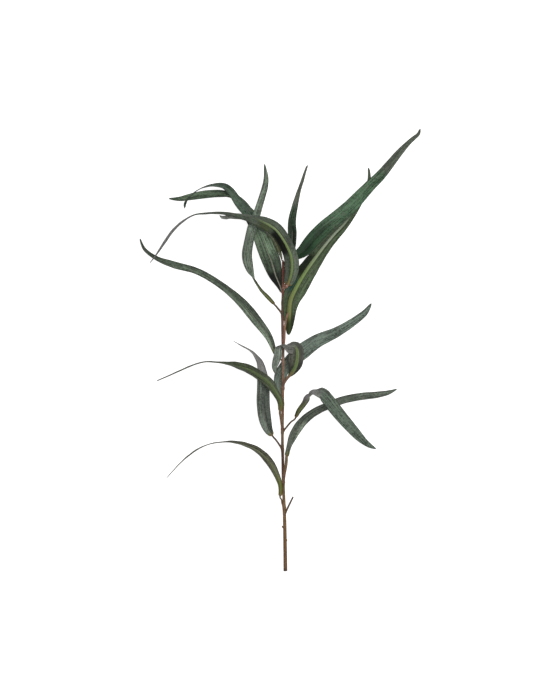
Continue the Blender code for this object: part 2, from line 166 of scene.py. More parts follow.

# How far colours go from dark to light on each face and in a patch of colour, how much each noise
# does to them, the veins' strength, lightness, and spacing, slant and wandering in millimetres,
# where the vein by the margin lies, how strong a flush, a painted shadow at the base or a patch of
# colour is, and the millimetres over which a stretch fades
UPPER_TONES = (0.32, 1.75)
UNDER_TONES = (0.5, 1.55)
PATCH_TONES = (0.6, 1.4)
MOTTLING = {"streaks": 4.0, "broad": 1.5, "speckle": 1.9, "grain": 1.6, "clouds": 1.0}
VEIN_STRENGTH = 0.22
VEIN_LIGHTNESS = 2.0
VEIN_SPACING = 6.5
VEIN_SLANT = 2.6
VEIN_WANDER = 6.0
MARGIN_VEIN = 0.84
COAT_STRENGTH = 0.8
STRETCH_FADE = 7.0

# Colours of single leaves
OLIVE = (0.085, 0.095, 0.028)
# Painted shadow, near black, laid over the bases of leaves 10 and 14 where leaves above shade them
PAINTED_SHADOW = (0.014, 0.018, 0.01)
DEEP_OLIVE = (0.027, 0.036, 0.009)
BOTTLE = (0.009, 0.034, 0.012)
# A pale grey laid over stretches of leaves 3, 4 and 12
PALE_GREY = (0.165, 0.16, 0.158)
TEAL = (0.02, 0.058, 0.05)
MOSS = (0.12, 0.125, 0.022)
ASH = (0.115, 0.113, 0.102)
DRY = (0.082, 0.088, 0.07)

# The leaves, from the cut end upwards, in millimetres and degrees:
# - petiole: its points, from inside the stem to its blade. Its radii are the first and the last
# - route: the blade's midrib: x, y, height, the blade's turn, and half its width. The turn is 0
#   where the upper face looks straight up, and 180 where the underside does
# - fold: how far each half rises from the midrib, at the base
# - step: how far apart the solid's rows are
# - seat: where the petiole meets the blade, its base or its midrib
# - curl: where the blade curls up: the middle, the reach, and the degrees added to the fold
# - stalk: how pink and how dark the petiole is, from 0 to 1
# - upper, under: the colours of the two faces
# - rib: the rib beneath: half its width, how clearly it shows, the share of the length where it
#   ends, and how pale it turns
# - line: the hair line above: half its width, and how clearly it shows
# - flush at the base: its colour, which on leaves 10 and 14 is a painted shadow, and its reach
# - stretches: parts that differ: where they are across (1 and -1 are the halves, 0 is both, 2 is a
#   stripe along the middle), the start, the end, and a factor or a colour laid over. A factor is
#   painted light or painted shade: it lightens or darkens the stretch to show how it is lit, as in
#   the shaded half of leaf 12 and the shaded base of leaf 10
MIDDLE = 2
PLAIN_LEAF = {
    "step": 9, "seat": "base", "curl": (0, 1, 0), "stalk": (0.0, 0.0),
    "upper": (0.052, 0.066, 0.05), "under": (0.052, 0.066, 0.05),
    "rib": (1.3, 0.4, 0.6, 0.4), "line": (0.6, 0.5), "stretches": [],
}
LEAVES = {
    "leaf_01_low_left": {
        "petiole": [(5, -238.5, 8.2), (2.5, -231.5, 9.6), (1, -224.5, 11.9)],
        "route": [
            (-0.5, -220, 13.5, 178, 2.8), (0, -206, 18, 180, 3.3), (-5.5, -188, 24, 184, 4.6),
            (-18, -166, 30, 196, 6.4), (-35, -150, 32, 220, 6.9), (-53.5, -142, 31.5, 242, 6.5),
            (-74, -138, 29.5, 254, 5.8), (-92, -138.5, 26.5, 262, 5.2),
            (-107.5, -141.5, 22.7, 266, 4.6), (-121, -147.5, 19, 260, 4.1),
            (-136, -157.5, 14.6, 257, 3.6), (-151.5, -171, 9.6, 255, 2.9),
            (-163.5, -184, 5.6, 254, 2.1), (-172.5, -194, 3, 254, 0.8),
        ],
        "radii": (1.3, 1.1), "fold": 13,
        "under": (0.076, 0.076, 0.049), "rib": (1.3, 0.35, 0.6, 0.4), "flush_and_shadow": (MOSS, 44),
        "stretches": [(0, 92, 140, 0.8)],
    },
    "leaf_02_low_right": {
        "petiole": [(4, -200.5, 10.6), (5.5, -188, 13.5), (8, -174.5, 17.2), (9, -164, 19.6)],
        "route": [
            (9.5, -159.5, 20.5, 10, 3.8), (12.5, -146.5, 20.6, 15, 3.8),
            (17, -134.5, 19.8, 20, 5.9), (23.5, -122, 18, 23, 7.2), (33.5, -108.5, 14.5, 24, 7.5),
            (50, -95, 11.5, 24, 6.9), (70, -85, 9, 24, 5.9), (95, -75.5, 7.4, 20, 6.1),
            (120, -70.5, 6.6, 20, 6.1), (150, -67, 6, 25, 4.8), (165.5, -63.5, 6.4, 32, 3.4),
            (176.5, -58.5, 7, 40, 0.9),
        ],
        "radii": (2.5, 2.3), "fold": 14,
        "upper": (0.062, 0.075, 0.058), "rib": (1.2, 0.4, 0.6, 0.4), "flush_and_shadow": (OLIVE, 12),
        "stretches": [(1, 10, 60, 2.1), (-1, 58, 92, 0.7), (-1, 118, 150, 0.75),
                      (0, 152, 220, 1.3)],
    },
    "leaf_03_right_drooping": {
        "petiole": [(4, -122, 15.8), (9, -116, 20), (15.5, -108, 27)],
        "route": [
            (23, -100.5, 34, 150, 2.8), (27, -92.5, 38.5, 148, 4.2), (36, -80, 44, 140, 5.7),
            (42, -71.5, 48.5, 124, 7.8), (46.5, -65.5, 50.5, 72, 6.8), (53.5, -65, 52, 50, 8),
            (60, -64.5, 52, 26, 9.7), (69, -72.5, 48.5, 16, 9.9), (78.5, -84.5, 43, 12, 9.8),
            (89.5, -98, 36, 9, 9.1), (106.5, -117.5, 25.5, 8, 8.1), (119, -131, 17, 8, 6.7),
            (127.5, -139, 11.6, 9, 4.9), (136, -145, 7.4, 11, 3.3), (145, -149.5, 3.2, 14, 0.8),
        ],
        "radii": (1.4, 1.3), "fold": 12, "step": 6, "curl": (42, 7, 38), "stalk": (0.0, 0.5),
        "upper": (0.067, 0.089, 0.067), "under": (0.061, 0.052, 0.057), "flush_and_shadow": (OLIVE, 40),
        "stretches": [(0, -10, 12, 0.5), (0, 35, 58, PALE_GREY), (0, 150, 190, 1.2)],
    },
    "leaf_04_left_hanging": {
        "petiole": [(3, -150, 14), (-2.5, -141.5, 14.4), (-7.5, -134.5, 15.4)],
        "route": [
            (-12.5, -128.5, 17, 0, 3.9), (-17.5, -121.5, 15.2, -3, 6.6),
            (-22.5, -107.5, 13, -6, 9.3), (-26, -83, 11, -8, 10.2), (-26.5, -51.5, 10.5, -14, 9.3),
            (-28.5, -33, 11.3, -28, 8.3), (-31.5, -19, 12.6, -42, 7), (-37.5, -9.5, 14.8, -54, 5.4),
            (-44.5, -1.5, 16.8, -73, 4.3), (-55.5, 4.5, 19, -76, 3.4), (-72.5, 14.5, 22, -78, 0.6),
        ],
        "radii": (1.5, 1.4), "fold": 13, "stalk": (0.0, 0.8),
        "upper": (0.084, 0.102, 0.082), "flush_and_shadow": (OLIVE, 8),
        "stretches": [(1, -10, 90, 0.62), (2, 28, 60, 0.85), (0, 90, 170, PALE_GREY)],
    },
    "leaf_05_left_arching": {
        "petiole": [(3, -120.5, 15.8), (1.5, -109.5, 19.5), (0, -99, 24)],
        "route": [
            (-0.5, -91.5, 27.5, 180, 3.2), (0.5, -83.5, 29, 180, 4.4), (-1, -75, 31, 180, 5),
            (-7, -64.5, 32.5, 182, 5.3), (-17.5, -49, 34, 187, 7.5), (-33, -37.5, 34, 196, 7.5),
            (-47, -29.5, 32.5, 213, 8.6), (-60.5, -25, 30, 226, 8.1), (-72.5, -22, 27.5, 241, 7.2),
            (-85, -20, 24.5, 254, 5.8), (-98.5, -18.5, 21, 256, 5.2), (-113.5, -18, 17, 257, 4.6),
            (-129, -22, 13.2, 258, 4.1), (-148.5, -30, 8.8, 258, 3.4), (-170, -39.5, 4.9, 250, 2.8),
            (-187.5, -47, 2.6, 246, 2),
        ],
        "radii": (1.9, 1.8), "fold": 13,
        "under": (0.051, 0.064, 0.036), "rib": (3.2, 0.3, 0.5, 0.0), "flush_and_shadow": (OLIVE, 24),
        "stretches": [(2, -10, 80, 0.72)],
    },
    "leaf_06_looped": {
        "petiole": [(3.5, -58.5, 20), (4.5, -51, 23.5), (7.5, -45.5, 28.5)],
        "route": [
            (12, -40, 33.5, 172, 2.4), (18, -33.5, 36.5, 166, 7.2), (23, -24, 40, 160, 13.4),
            (25.5, -11.5, 45, 155, 14.9), (25, -0.5, 49.5, 150, 14.8), (21, 6, 54.2, 129, 14.8),
            (11, 6.5, 56, 116, 15), (4, 8, 56.2, 86, 11.5), (-4, 3.5, 55.4, 50, 9.3),
            (-5, -7.5, 54.2, 38, 8.2), (-7, -16, 51.4, 30, 6.4), (-9, -25.5, 48, 26, 4.5),
            (-7.5, -36, 43.5, 24, 0.9),
        ],
        "radii": (2.4, 2.2), "fold": 35, "step": 5, "stalk": (0.45, 0.3),
        "upper": (0.114, 0.132, 0.109), "under": (0.064, 0.067, 0.051),
        "rib": (4.0, 0.62, 0.5, 0.0), "flush_and_shadow": (OLIVE, 6),
        "stretches": [(-1, -10, 28, 0.28), (-1, 28, 56, 0.7), (1, -10, 22, 0.5),
                      (0, 56, 76, ASH), (0, 80, 92, 1.4)],
    },
    "leaf_07_middle_right": {
        "petiole": [(3.5, -81, 18.2), (2, -76, 17.2)],
        "route": [
            (0.5, -70.5, 15.5, 10, 1.5), (-1.5, -57, 12.5, 14, 6.8), (0.5, -38.5, 10, 16, 9.6),
            (10.5, -22, 9.5, 18, 9.8), (30.5, -5, 9, 18, 12.8), (53.5, 12, 8.5, 16, 10.7),
            (86, 27.5, 8.5, 16, 8.1), (113.5, 45, 11, 20, 6.1), (128, 57, 13.8, 22, 4.7),
            (137, 70.5, 16, 25, 1.5),
        ],
        "radii": (1.2, 0.9), "fold": 13,
        "upper": (0.09, 0.117, 0.094), "rib": (1.4, 0.4, 0.6, 0.4), "flush_and_shadow": (OLIVE, 5),
        "stretches": [(1, -10, 34, 1.6), (-1, 60, 110, 0.85), (0, 150, 215, 1.2)],
    },
    "leaf_08_long_left": {
        "petiole": [(4, -19, 22.4), (0.5, -14, 21.8), (-3.5, -10.5, 21)],
        "route": [
            (-7.5, -7, 20.4, -8, 2.5), (-16.5, 17, 15.8, -12, 5.7), (-36, 44, 10.2, -16, 7.9),
            (-61, 73.5, 5.6, -18, 7.5), (-91, 98.5, 3, -18, 5.5), (-127.5, 119.5, 1.75, -16, 5.4),
            (-161.5, 129, 2.1, -14, 5.4), (-190.5, 140.5, 4.3, -14, 3.3),
            (-206.5, 154, 6.8, -20, 2.6), (-212, 168.5, 10.3, -30, 1.2),
        ],
        "radii": (1.2, 0.9), "fold": 13,
        "upper": (0.071, 0.093, 0.066), "flush_and_shadow": (OLIVE, 14),
        "stretches": [(-1, -10, 55, 1.9), (-1, 55, 85, 1.4), (1, 50, 150, 0.62),
                      (2, 85, 145, 0.75), (-1, 165, 220, 1.3), (1, 205, 250, 0.62),
                      (0, 240, 290, 0.75)],
    },
    "leaf_09_left_upright": {
        "petiole": [(3.5, 52.5, 28), (-0.5, 58, 31), (-5, 63.5, 34.5)],
        "route": [
            (-9.5, 68.5, 38, 212, 3), (-19.5, 79, 40.3, 214, 3.7), (-30, 90, 42, 234, 3.3),
            (-37.5, 101, 43, 262, 4.8), (-45.5, 118.5, 43.5, 325, 6.4), (-50, 140, 43.5, 352, 7.8),
            (-47, 162, 43.5, 360, 7.1), (-41.5, 184.5, 43.5, 362, 7.2),
            (-33.5, 208.5, 42.5, 361, 5.6), (-28, 226.5, 41, 358, 5), (-23, 244.5, 39, 354, 4.6),
            (-21.5, 257, 38, 350, 3.7), (-22.5, 267.5, 37, 347, 2.5), (-24, 278.5, 36, 345, 0.9),
        ],
        "radii": (1.6, 1.4), "fold": 11, "curl": (46, 8, 12), "stalk": (0.0, 0.7),
        "upper": (0.087, 0.11, 0.082), "under": (0.038, 0.044, 0.024), "flush_and_shadow": (OLIVE, 40),
        "stretches": [(0, 30, 56, 1.5), (-1, 78, 118, 0.72), (0, 118, 148, 1.4),
                      (0, 160, 215, 1.2)],
    },
    "leaf_10_upper_left_back": {
        "petiole": [(4, 70.5, 29.5), (3, 78.5, 28.8)],
        "route": [
            (2, 86, 27.5, 0, 2), (-0.5, 95, 26.3, -1, 4.8), (-7, 111, 24, -2, 10),
            (-13.5, 132.5, 21.5, -4, 14), (-22, 153, 19, -6, 13.6), (-30, 173.5, 17.5, -8, 12.6),
            (-40, 193.5, 16, -10, 11), (-50.5, 209, 15, -12, 8.6), (-61, 222.5, 14, -14, 7.2),
            (-73.5, 233, 13, -14, 4.6), (-88, 235.5, 12, -14, 5.8), (-109.5, 235, 9.5, -12, 6.3),
            (-136.5, 231, 7.5, -10, 5.1), (-153, 228, 7.4, -10, 3.5), (-169, 228.5, 8, -10, 1.1),
        ],
        "radii": (1, 0.8), "fold": 11,
        "upper": (0.066, 0.096, 0.061), "line": (1.1, 1.0), "flush_and_shadow": (PAINTED_SHADOW, 10),
        # Painted shade darkens the base of both halves, and painted light lightens 62 to 125 mm
        "stretches": [(-1, -10, 36, 0.06), (-1, 36, 52, 0.6), (1, -10, 34, 0.25),
                      (1, 34, 50, 0.5), (1, 62, 125, 1.9), (0, 85, 125, 1.3)],
    },
    "leaf_11_upper_left_arching": {
        "petiole": [(4, 130, 35.2), (3.5, 133.5, 35.8)],
        "route": [
            (2, 135.5, 36.2, 300, 1.6), (-3, 149.5, 35.5, 312, 4.7), (-9.5, 163.5, 33.5, 312, 5.4),
            (-21.5, 177, 31.5, 312, 5.9), (-33.5, 186, 30, 316, 6.4), (-44, 197.5, 28.5, 325, 7.6),
            (-53, 209.5, 27, 338, 8.2), (-61, 219.5, 26, 340, 8.5), (-67.5, 228, 25.3, 338, 7),
            (-74.5, 237.5, 24.6, 328, 6.8), (-83, 245, 23.8, 314, 7),
            (-94.5, 247.5, 22.5, 303, 5.8), (-109.5, 246, 20.5, 294, 4.6),
            (-125, 240, 17.5, 288, 3.6), (-135.5, 232, 15.2, 293, 3.2),
            (-140, 226.5, 14.2, 300, 2.4), (-143.5, 221, 13.3, 325, 2.5),
            (-144.5, 213, 12.5, 332, 1.2),
        ],
        "radii": (1, 0.8), "fold": 11, "step": 8,
        "upper": (0.041, 0.065, 0.045), "under": (0.026, 0.042, 0.022),
        "rib": (1.3, 0.5, 0.6, 0.4), "line": (0.9, 0.9), "flush_and_shadow": (OLIVE, 60),
    },
    "leaf_12_top_arching": {
        "petiole": [(4, 92.5, 29.5), (5, 92.5, 35.6), (7.5, 93.5, 38.9)],
        "route": [
            (10.5, 96.5, 42.2, 178, 6.8), (13, 103, 45.4, 178, 9.2), (15.5, 111, 50, 178, 10.7),
            (17, 127.5, 57, 178, 11.6), (15.5, 139, 62, 177, 11.4), (11, 150.5, 65.5, 178, 10.9),
            (2.5, 165.5, 69.5, 182, 10.7), (-7.5, 178, 71.5, 182, 11),
            (-24.5, 188.5, 71, 168, 10.3), (-42, 195.5, 68, 136, 9.4), (-60, 200, 64, 118, 8.6),
            (-87, 204.5, 57.5, 113, 7.4), (-109, 204, 51.5, 106, 6.4), (-129, 201.5, 46, 96, 5.8),
            (-143.5, 194.5, 41.5, 110, 5.6), (-159, 181.5, 37, 120, 5.4),
            (-175.5, 159.5, 30.5, 118, 4.6), (-186.5, 143.5, 25.5, 112, 3.2),
            (-197, 130, 21, 108, 2),
        ],
        "radii": (2.1, 1.7), "fold": 22, "step": 7, "stalk": (0.9, 0.0),
        "upper": (0.044, 0.054, 0.042), "under": (0.051, 0.064, 0.046),
        "rib": (2.2, 0.9, 0.42, 0.25), "flush_and_shadow": (OLIVE, 4),
        # Painted light on one half near the base, and painted shade on the other half from 52 to 97
        # mm
        "stretches": [(-1, -10, 58, 1.6), (1, 52, 97, 0.08),
                      (1, 100, 122, DEEP_OLIVE), (0, 225, 330, PALE_GREY)],
    },
    "leaf_13_top_short": {
        "petiole": [(4, 125.5, 34.5), (6.5, 130, 38)],
        "route": [
            (9, 135.5, 42, 238, 0.8), (9.5, 155, 47, 238, 3.2), (3.5, 173, 50, 238, 3.8),
            (-9, 185, 51.5, 238, 4.2), (-27, 192.5, 51.5, 240, 4.6), (-45, 195, 50, 238, 4.8),
            (-60, 197, 47, 237, 4.2), (-74, 198.5, 41.5, 236, 4.5), (-83, 198, 33.5, 236, 4.6),
            (-88, 199, 24, 238, 4.4), (-90, 200, 15, 240, 3.6), (-91, 200.5, 8, 240, 1.8),
        ],
        "radii": (1, 0.8), "fold": 10,
        "upper": (0.098, 0.108, 0.092), "under": (0.15, 0.16, 0.142),
        "rib": (1.0, 0.5, 0.6, 0.4), "flush_and_shadow": (OLIVE, 34),
    },
    "leaf_14_top_upright": {
        "petiole": [(4, 119.5, 34), (8, 125.5, 35.5)],
        "route": [
            (12, 131.5, 37.5, 12, 1.5), (16, 152, 42, 18, 6.8), (18, 173, 45, 22, 7),
            (17.5, 190.5, 46.3, 23, 6.7), (20.5, 208.5, 46.8, 24, 5.7), (24, 223.5, 46, 23, 4.3),
            (28, 238.5, 44, 20, 2.9), (33, 253.5, 41.5, 16, 2.4), (36.5, 265.5, 39, 13, 1.9),
            (40.5, 276.5, 37, 10, 1.3),
        ],
        "radii": (1, 0.8), "fold": 14,
        "upper": (0.029, 0.048, 0.029), "under": (0.024, 0.04, 0.022),
        "rib": (1.0, 0.4, 0.6, 0.4), "line": (0.9, 0.7), "flush_and_shadow": (PAINTED_SHADOW, 20),
        "stretches": [(0, -10, 58, 0.72), (1, -10, 50, 0.6), (0, 84, 150, DRY)],
    },
    "leaf_15_right_broad": {
        "petiole": [
            (3.5, 1.5, 24.5), (5.5, 13.5, 28.4), (6, 25.5, 31.4), (7, 37.5, 34.6), (9, 48.5, 37.4),
            (11.5, 55.5, 39.2),
        ],
        "route": [
            (12, 23, 30, 180, 2.4), (12.5, 30, 31.6, 186, 4.8), (12.5, 42, 34.2, 194, 8.1),
            (13, 58.5, 37.4, 200, 10.6), (15, 74.5, 39.8, 199, 14.1), (22.5, 91.5, 42.2, 198, 17.1),
            (37, 116, 43.4, 208, 16.3), (51, 136, 42.3, 210, 13.8), (66.5, 156.5, 38, 216, 12.2),
            (80.5, 173, 31, 222, 11.2), (94.5, 188, 22.5, 218, 8.8), (108, 206.5, 14.5, 208, 7.1),
            (120.5, 226, 10.5, 200, 4.8), (130, 244.5, 9, 194, 2.8), (134, 259.5, 9.5, 190, 2.4),
            (132.5, 275, 13, 190, 1.3),
        ],
        "radii": (1.9, 1.6), "fold": 13, "seat": "midrib", "stalk": (0.5, 0.0),
        "upper": (0.034, 0.062, 0.033), "under": (0.05, 0.071, 0.037),
        "rib": (3.9, 1.0, 0.82, 1.0), "flush_and_shadow": (OLIVE, 8),
        "stretches": [(-1, -10, 30, 0.3), (1, -10, 18, 0.45), (1, 64, 88, TEAL),
                      (1, 90, 130, 0.22), (-1, 40, 110, 1.2)],
    },
    "leaf_16_right_longest": {
        "petiole": [(4, 106, 32.2), (8, 116, 32.6), (14, 128, 33)],
        "route": [
            (20, 136.5, 33.4, 4, 2.2), (26, 141.5, 34.2, 6, 6.8), (35, 148.5, 34.8, 8, 9.8),
            (48.5, 164.5, 34.4, 8, 11.3), (66.5, 182.5, 33.6, 8, 11.7),
            (86.5, 198.5, 31.6, 8, 11.6), (104.5, 214.5, 28, 8, 10.8), (119.5, 230.5, 24, 8, 9.9),
            (134.5, 246.5, 19.5, 9, 8.7), (150.5, 262.5, 15, 10, 7.7), (165, 280, 10.7, 12, 6.7),
            (180, 298.5, 6.6, 14, 5.5), (195.5, 315, 3.3, 16, 3.7), (205.5, 324, 1.35, 16, 3),
            (211, 330, 0.7, 16, 2.2), (211.5, 335, 0.9, 16, 1.3),
        ],
        "radii": (1.1, 0.9), "fold": 12,
        "upper": (0.044, 0.082, 0.046), "line": (0.5, 0.1), "flush_and_shadow": (BOTTLE, 90),
        "stretches": [(0, -10, 32, 0.7), (2, 20, 80, 0.6), (0, 110, 190, 1.12),
                      (0, 190, 340, DRY)],
    },
}
LEAVES = {name: {**PLAIN_LEAF, **leaf} for name, leaf in LEAVES.items()}

# The studio, in metres and watts. The lens and the sensor are in millimetres
FLOOR_HALF = 9.0
FLOOR_GREY = (0.5, 0.5, 0.5)
FLOOR_GLOW = 0.8
WHITE = (1.0, 1.0, 1.0)
WORLD_LIGHT = 0.30
CAMERA_PLACE = (-0.00075, 0.0, 2.942)
CAMERA_LENS = 100.0
CAMERA_SENSOR = 36.0
LAMPS = {
    "key_light": {"place": (0.30, 0.22, 2.75), "size": 0.9, "power": 62.0},
    "side_light": {"place": (1.9, 0.7, 1.6), "size": 1.0, "power": 16.0},
}


def curve_through(values, knots, places):
    """A Catmull-Rom curve through rows of values at the knots, read at the places: the cubic with
    the values and slopes of both knots, where a slope is the change from the knot before to the
    knot after over their distance."""
    slopes = np.gradient(values, knots, axis=0)
    spans = np.diff(knots)
    index = np.clip(np.searchsorted(knots, places, side="right") - 1, 0, len(spans) - 1)
    span = spans[index][:, None]
    t = (places - knots[index])[:, None] / span
    return ((2 * t**3 - 3 * t**2 + 1) * values[index]
            + (t**3 - 2 * t**2 + t) * span * slopes[index]
            + (3 * t**2 - 2 * t**3) * values[index + 1]
            + (t**3 - t**2) * span * slopes[index + 1])


def travel(points):
    """The distance from the first point to each point, along the line through them."""
    steps = np.linalg.norm(np.diff(points, axis=0), axis=1)
    return np.concatenate([[0.0], np.cumsum(steps)])


def smooth_route(points, step):
    """A smooth curve through the points, read at even steps of its length."""
    points = np.array(points, dtype=float)
    knots = travel(points[:, :3])
    places = np.linspace(0.0, knots[-1], CURVE_SAMPLES * len(points))
    curve = curve_through(points, knots, places)
    travelled = travel(curve[:, :3])
    count = max(3, round(travelled[-1] / step) + 1)
    wanted = np.linspace(0.0, travelled[-1], count)
    return np.column_stack([np.interp(wanted, travelled, column) for column in curve.T])


def unit(vectors):
    """The vectors at length 1."""
    return vectors / np.linalg.norm(vectors, axis=-1, keepdims=True)


def bump(x):
    """A round hump: (1 + cos(pi x)) / 2 between x = -1 and 1, and 0 outside."""
    return 0.5 * (1.0 + np.cos(np.pi * np.clip(x, -1.0, 1.0)))


def bell(x):
    """A soft hump without ends: exp(-x^2)."""
    return np.exp(-x ** 2)


def rounded(distance, ending):
    """The share of the full width near a rounded end: sqrt(distance / length + rest), at most 1."""
    length, rest = ending
    return np.sqrt(np.clip(distance / length + rest, 0.0, 1.0))


def frames(points):
    """Unit vectors along a line, level across it, and raised square to both."""
    forward = unit(np.gradient(points, axis=0))
    level = unit(np.cross(forward, UP))
    return forward, level, np.cross(level, forward)


def section_places():
    """Where the columns lie round a blade's section: across, from -1 to 1 between the margins, and
    the face, 1 on the upper side, -1 on the underside and 0 on the margins. Columns crowd towards
    the midrib: across = t to the power CROWDING."""
    half = LAST_COLUMN * np.linspace(0.0, 1.0, HALF_COLUMNS) ** CROWDING
    half = np.append(half, 1.0)
    upper = np.concatenate([-half[:0:-1], half])
    across = np.concatenate([upper, upper[-2:0:-1]])
    face = np.ones(len(across))
    face[len(upper):] = -1.0
    face[[0, len(upper) - 1]] = 0.0
    return across, face


def blade_rows(leaf):
    """The blade's rows: midrib, unit vectors to the side and along the face, half the width, and
    the whole length. The solid's own rows come first, a step apart, and the rows between follow
    smooth curves through them, so the finished blade has the solid's shape."""
    route = smooth_route(leaf["route"], leaf["step"])
    _, level, raised = frames(route[:, :3])
    turn = np.radians(route[:, 3:4])
    side = np.cos(turn) * level + np.sin(turn) * raised
    face = np.cos(turn) * raised - np.sin(turn) * level
    rows = np.hstack([route[:, :3], side, face, route[:, 4:5]])
    count = (len(rows) - 1) * round(leaf["step"] / BLADE_ROW) + 1
    fine = curve_through(rows, np.arange(len(rows)), np.linspace(0.0, len(rows) - 1.0, count))
    return fine[:, :3], fine[:, 3:6], fine[:, 6:9], fine[:, 9:10], travel(route[:, :3])[-1]


def blade_lift(leaf, along, distance, across, width, breadth):
    """How far the middle surface lies off the flat, and the fold's angle in radians.

    Lift = |across| * half width * sin(fold), plus the long wave, which grows with across^2, and the
    short ripple, which grows with across^6. The fold shrinks evenly to the tip, and the curl adds
    degrees * exp(-((distance - middle) / reach)^2).
    """
    middle, reach, degrees = leaf["curl"]
    curled = degrees * bell((distance - middle) / reach)
    fold = np.radians(leaf["fold"] * (1.0 - (1.0 - FOLD_LEFT_AT_TIP) * along) + curled)
    crease = np.sqrt(across**2 + CREASE_SOFTNESS) - np.sqrt(CREASE_SOFTNESS)
    turns = 2.0 * np.pi * distance
    wave = WAVE_HEIGHT * np.sin(turns / WAVE_LENGTH + WAVE_TURN * across)
    ripple = RIPPLE_HEIGHT * np.sin(turns / RIPPLE_LENGTH + RIPPLE_TURN * np.sign(across))
    waves = (wave * across**2 + ripple * across**6) * breadth
    return crease * width * np.sin(fold) + waves, fold


def blade_skin(leaf):
    """The blade's closed skin, a row of points round each section from base to tip, and its marks.

    Middle surface: midrib + side * across * half width * cos(fold) + face * lift.
    Skin: the middle surface moved along the face by the wall, which thins to the margins as
    sqrt(1 - across^6). The underside adds the rib, a hump that falls and narrows towards the tip,
    the upper face has a narrow groove, and near the base both round out into the petiole.
    """
    middle, side, face, half, length = blade_rows(leaf)
    along = np.linspace(0.0, 1.0, len(middle))[:, None]
    distance = along * length
    across, sign = section_places()
    ends = np.minimum(rounded(length - distance, TIP_ROUND), rounded(distance, BASE_ROUND))
    width = half * ends
    reach = across * width
    breadth = half / half.max()
    lift, fold = blade_lift(leaf, along, distance, across, width, breadth)

    wall = 0.5 * BLADE_WALL * np.sqrt(1.0 - np.abs(across) ** 6) * np.sqrt(ends)
    neck = bell(distance / NECK_LENGTH)
    round_wall = leaf["radii"][1] * np.sqrt(np.clip(1.0 - across**2, 0.0, 1.0))
    rib_width = np.minimum(leaf["rib"][0] * (1.0 - RIB_NARROWING * along), RIB_SHARE * width)
    rib_top = RIB_HEIGHT * (1.0 - along) ** RIB_FALL * np.minimum(breadth * 2, 1)
    rib = rib_top * bump(reach / rib_width)
    groove = GROOVE_DEPTH * (1.0 - along) * bump(reach / GROOVE_WIDTH)
    body = np.where(sign < 0, wall + rib, wall - groove)
    offset = sign * (body * (1.0 - neck) + round_wall * neck)

    sideways = (reach * np.cos(fold))[:, :, None] * side[:, None, :]
    outwards = (lift + offset)[:, :, None] * face[:, None, :]
    points = middle[:, None, :] + sideways + outwards
    ones = np.ones_like(reach)
    marks = {
        "across": across * ones,
        "reach": reach,
        "rib": reach / rib_width,
        "margin": width - np.abs(reach),
        "travelled": distance * ones,
        "along": along * ones,
        "under": (0.5 - 0.5 * sign) * ones,
    }
    return points, marks


def tube_skin(points, radii, sides, relief=None):
    """A tube's skin: point + radius * (cos(angle) * level + sin(angle) * raised), row by row."""
    _, level, raised = frames(points)
    angle = np.linspace(0.0, 2.0 * np.pi, sides, endpoint=False)[None, :]
    radius = radii[:, None] * np.ones_like(angle)
    if relief is not None:
        radius = radius + relief(travel(points)[:, None], angle)
    across = (radius * np.cos(angle))[:, :, None] * level[:, None, :]
    above = (radius * np.sin(angle))[:, :, None] * raised[:, None, :]
    return points[:, None, :] + across + above


def close_skin(rows):
    """Vertices and faces of a skin closed round its rows, with a point closing each end."""
    count, sides = rows.shape[:2]
    index = np.arange(count * sides).reshape(count, sides)
    nxt = np.roll(index, -1, axis=1)
    quads = np.stack([index[:-1], nxt[:-1], nxt[1:], index[1:]], axis=-1).reshape(-1, 4)
    first = np.full(sides, count * sides)
    last = first + 1
    start = np.stack([first, nxt[0], index[0]], axis=-1)
    end = np.stack([last, index[-1], nxt[-1]], axis=-1)
    vertices = np.concatenate([rows.reshape(-1, 3), rows[0].mean(0)[None], rows[-1].mean(0)[None]])
    return vertices, [quads, start, end]


def close_marks(mark):
    """A mark's values for the same vertices. A closing point has the mean of its end row."""
    return np.concatenate([mark.ravel(), [mark[0].mean(), mark[-1].mean()]])


def make_piece(name, skins, finish, node):
    """One object from closed skins, each with its marks, that stands for a node of the solids."""
    places = []
    faces = []
    marks = {key: [] for key in skins[0][1]}
    count = 0
    for rows, skin_marks in skins:
        vertices, groups = close_skin(rows)
        places.append(vertices)
        faces += [tuple(face) for group in groups for face in (group + count).tolist()]
        count += len(vertices)
        for key in marks:
            marks[key].append(close_marks(skin_marks[key]))
    mesh = bpy.data.meshes.new(name)
    mesh.from_pydata(np.concatenate(places) * MM, [], faces)
    for key, values in marks.items():
        layer = mesh.attributes.new(key, "FLOAT", "POINT")
        layer.data.foreach_set("value", np.concatenate(values))
    mesh.shade_smooth()
    mesh.materials.append(finish)
    piece = bpy.data.objects.new(name, mesh)
    bpy.context.scene.collection.objects.link(piece)
    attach(piece, "root")
    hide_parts(node)


class Wire:
    """A number in a finish's node tree. Arithmetic on it adds Math nodes."""

    def __init__(self, finish, socket):
        self.finish = finish
        self.socket = socket

    def __add__(self, other):
        return self.finish.maths("ADD", self, other)

    __radd__ = __add__

    def __mul__(self, other):
        return self.finish.maths("MULTIPLY", self, other)

    __rmul__ = __mul__

    def __sub__(self, other):
        return self.finish.maths("SUBTRACT", self, other)

    def __rsub__(self, other):
        return self.finish.maths("SUBTRACT", other, self)

    def __truediv__(self, other):
        return self.finish.maths("DIVIDE", self, other)

    def __rtruediv__(self, other):
        return self.finish.maths("DIVIDE", other, self)

    def __abs__(self):
        return self.finish.maths("ABSOLUTE", self)

    def fraction(self):
        """What is left of the number after its whole part."""
        return self.finish.maths("FRACT", self)


